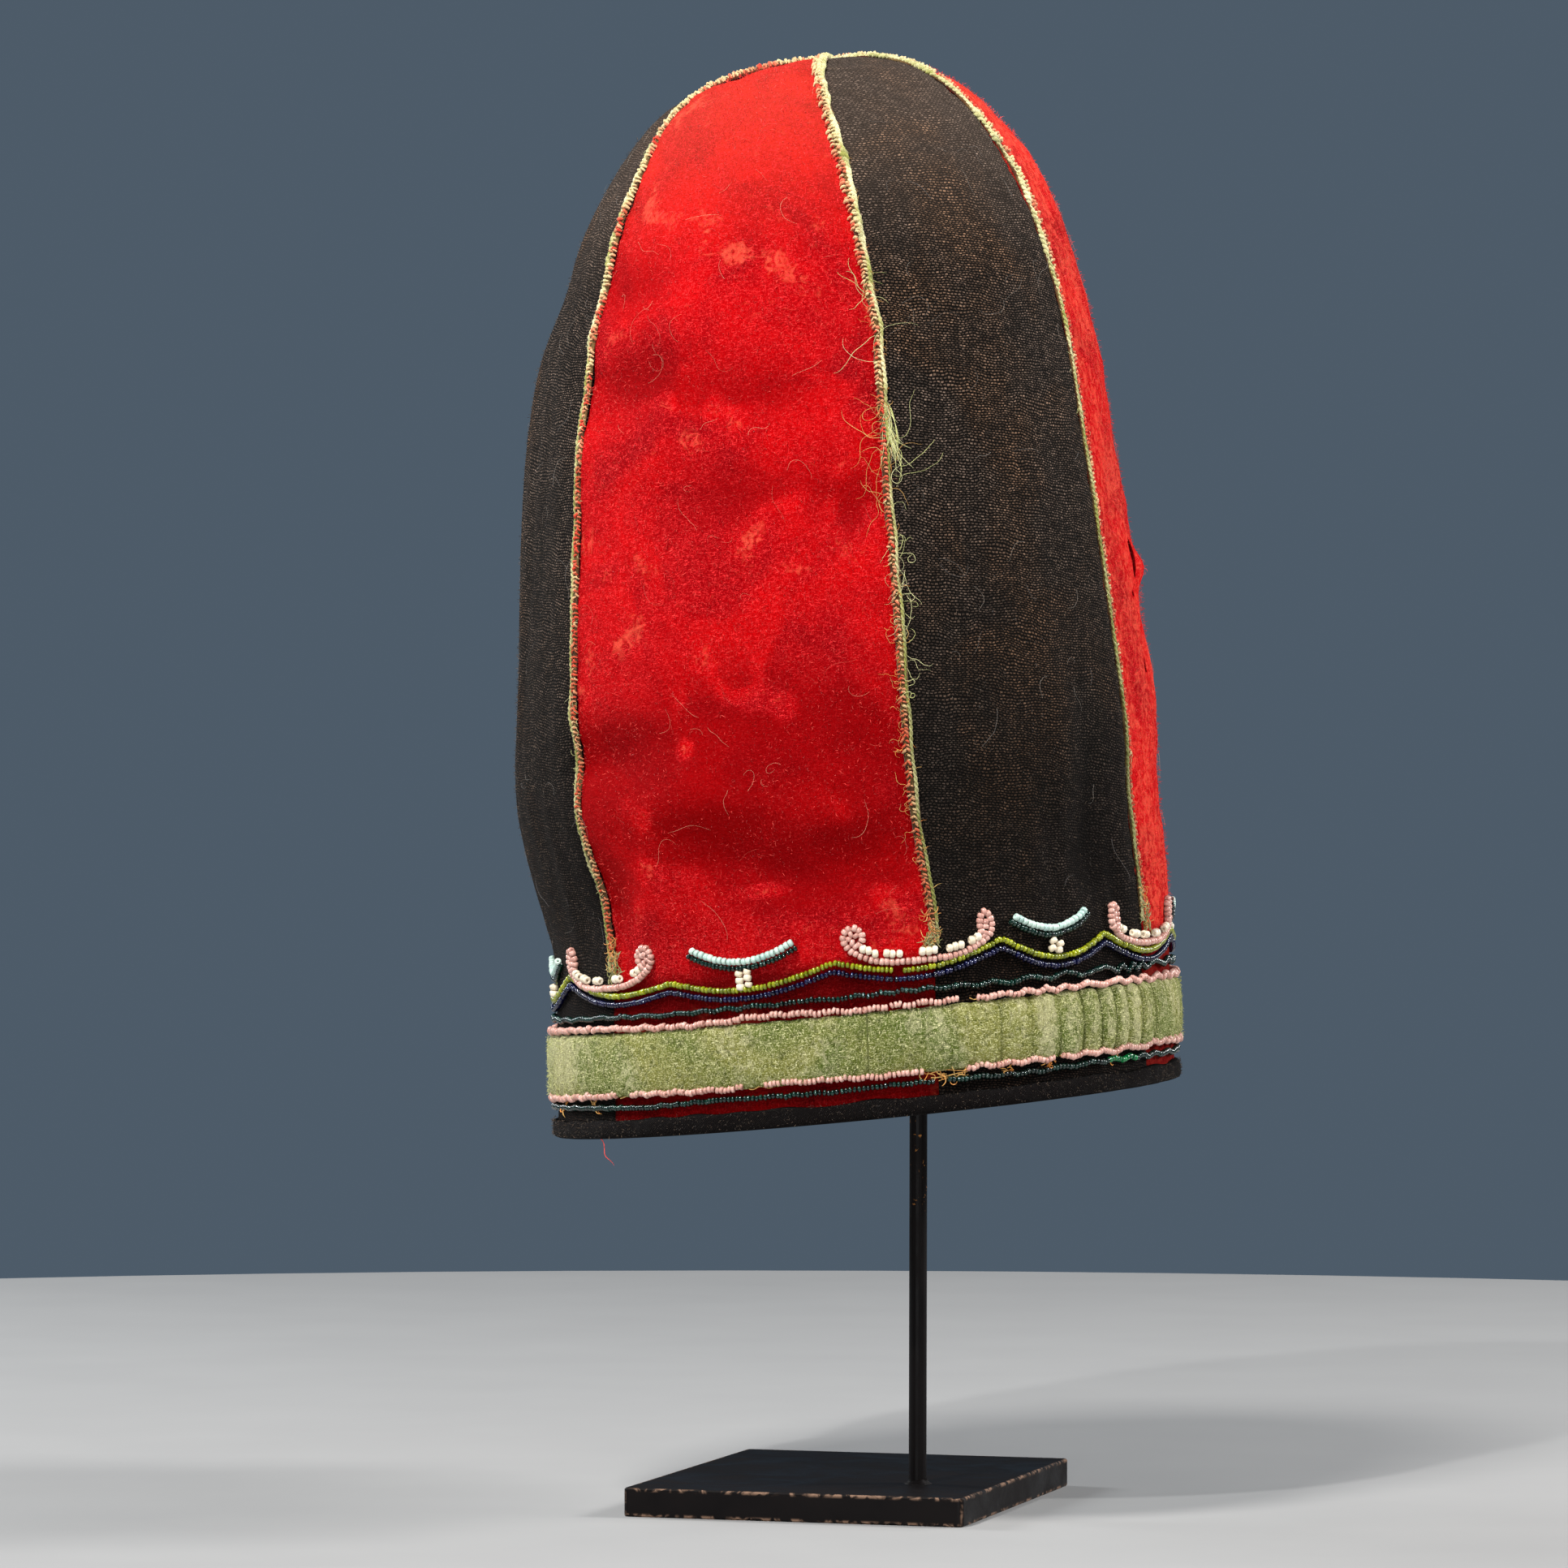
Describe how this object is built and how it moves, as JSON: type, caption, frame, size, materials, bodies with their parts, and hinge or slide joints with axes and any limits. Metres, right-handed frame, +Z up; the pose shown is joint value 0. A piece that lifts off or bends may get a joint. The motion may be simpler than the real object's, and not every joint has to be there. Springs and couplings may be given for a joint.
{
  "type": "beaded wool cap on stand",
  "caption": "Tall wool cap of red and black gores with a beaded border and green band, held up on a plain black metal stand.",
  "frame": {"origin": "centre of the base plate's underside, on the surface that the stand rests on", "axes": "+Z up, +X along the base plate's front edge, +Y along its depth, away from the front"},
  "size_m": [0.1924, 0.1953, 0.4149],
  "materials": {
    "red_wool": "matte",
    "black_wool": "matte",
    "yellow_green_cord": "matte",
    "green_wool": "matte",
    "dark_tape": "matte",
    "black_lacquered_steel": "satin"
  },
  "bodies": {
    "root": {"base_plate": "black_lacquered_steel", "stand_post": "black_lacquered_steel", "crown_panel_red_1": "red_wool", "crown_panel_black_1": "black_wool", "crown_panel_red_2": "red_wool", "crown_panel_black_2": "black_wool", "crown_panel_red_3": "red_wool", "crown_panel_black_3": "black_wool", "seam_piping_1": "yellow_green_cord", "seam_piping_2": "yellow_green_cord", "seam_piping_3": "yellow_green_cord", "seam_piping_4": "yellow_green_cord", "seam_piping_5": "yellow_green_cord", "seam_piping_6": "yellow_green_cord", "green_band": "green_wool", "rim_binding": "dark_tape"}
  },
  "joints": []
}
